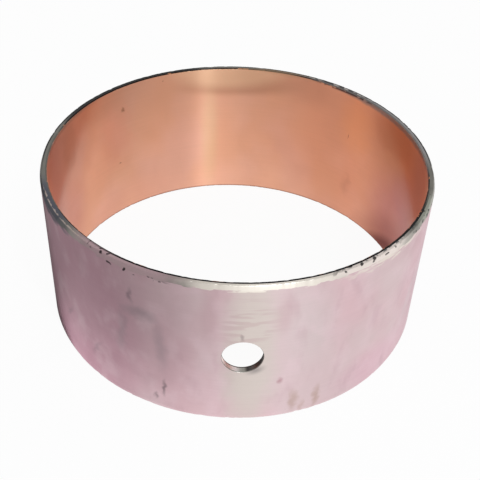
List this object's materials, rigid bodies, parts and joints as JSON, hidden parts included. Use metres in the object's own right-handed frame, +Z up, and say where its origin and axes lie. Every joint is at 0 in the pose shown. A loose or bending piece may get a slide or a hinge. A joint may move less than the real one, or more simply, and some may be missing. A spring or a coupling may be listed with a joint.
{
  "type": "bimetal bushing",
  "caption": "Thin-walled cylindrical plain bushing: a steel shell with a bronze running layer bonded inside it, chamfered ends and a radial oil hole.",
  "frame": {"origin": "centre of the lower end face, on the bore's axis", "axes": "+Z up along the bore's axis, -Y towards the oil hole"},
  "size_m": [0.14, 0.14, 0.06],
  "materials": {
    "steel_backing": "ground low-carbon steel with a thin pinkish tin and copper flash on the outside, bare grey steel on the machined ends",
    "bronze_lining": "fine-bored copper-coloured bearing bronze, lightly stained"
  },
  "bodies": {
    "root": {"steel_backing": "steel_backing", "bronze_lining": "bronze_lining"}
  },
  "joints": []
}
